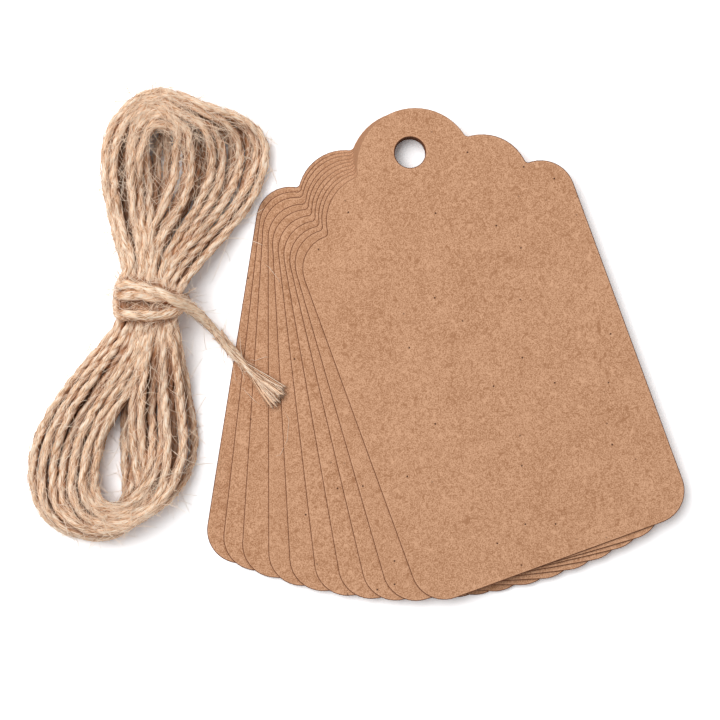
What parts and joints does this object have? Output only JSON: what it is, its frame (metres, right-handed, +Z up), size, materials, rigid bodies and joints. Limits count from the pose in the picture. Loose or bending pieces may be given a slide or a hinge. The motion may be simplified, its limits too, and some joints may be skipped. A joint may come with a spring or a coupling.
{
  "type": "gift tag set",
  "caption": "Set of blank kraft card gift tags with scalloped tops, fanned out about their punched holes, with a wound hank of jute twine beside them.",
  "frame": {"origin": "on the table under the set, on the common axis of the tags' punched holes", "axes": "+Z up, along the punched holes; before the fan turns it, a tag lies from its hole along -Y, with its hank towards -X"},
  "size_m": [0.1393, 0.1089, 0.0149],
  "materials": {
    "card": "uncoated kraft card, matt",
    "twine": "natural jute, hairy and matt"
  },
  "bodies": {
    "tag_01": {"tag_01": "card"},
    "tag_02": {"tag_02": "card"},
    "tag_03": {"tag_03": "card"},
    "tag_04": {"tag_04": "card"},
    "tag_05": {"tag_05": "card"},
    "tag_06": {"tag_06": "card"},
    "tag_07": {"tag_07": "card"},
    "tag_08": {"tag_08": "card"},
    "tag_09": {"tag_09": "card"},
    "tag_10": {"tag_10": "card"},
    "twine": {"twine_hank": "twine", "twine_tail": "twine"}
  },
  "joints": [
    {"name": "tag_02_turn", "type": "hinge", "parent": "tag_01", "child": "tag_02", "pos_m": [0, 0, 0], "axis": [0, 0, 1], "range_deg": [0, 150]},
    {"name": "tag_03_turn", "type": "hinge", "parent": "tag_01", "child": "tag_03", "pos_m": [0, 0, 0], "axis": [0, 0, 1], "range_deg": [0, 150]},
    {"name": "tag_04_turn", "type": "hinge", "parent": "tag_01", "child": "tag_04", "pos_m": [0, 0, 0], "axis": [0, 0, 1], "range_deg": [0, 150]},
    {"name": "tag_05_turn", "type": "hinge", "parent": "tag_01", "child": "tag_05", "pos_m": [0, 0, 0], "axis": [0, 0, 1], "range_deg": [0, 150]},
    {"name": "tag_06_turn", "type": "hinge", "parent": "tag_01", "child": "tag_06", "pos_m": [0, 0, 0], "axis": [0, 0, 1], "range_deg": [0, 150]},
    {"name": "tag_07_turn", "type": "hinge", "parent": "tag_01", "child": "tag_07", "pos_m": [0, 0, 0], "axis": [0, 0, 1], "range_deg": [0, 150]},
    {"name": "tag_08_turn", "type": "hinge", "parent": "tag_01", "child": "tag_08", "pos_m": [0, 0, 0], "axis": [0, 0, 1], "range_deg": [0, 150]},
    {"name": "tag_09_turn", "type": "hinge", "parent": "tag_01", "child": "tag_09", "pos_m": [0, 0, 0], "axis": [0, 0, 1], "range_deg": [0, 150]},
    {"name": "tag_10_turn", "type": "hinge", "parent": "tag_01", "child": "tag_10", "pos_m": [0, 0, 0], "axis": [0, 0, 1], "range_deg": [0, 150]},
    {"name": "twine_lift", "type": "slide", "parent": "tag_01", "child": "twine", "axis": [0, 0, 1], "range_m": [0, 0.06]}
  ]
}
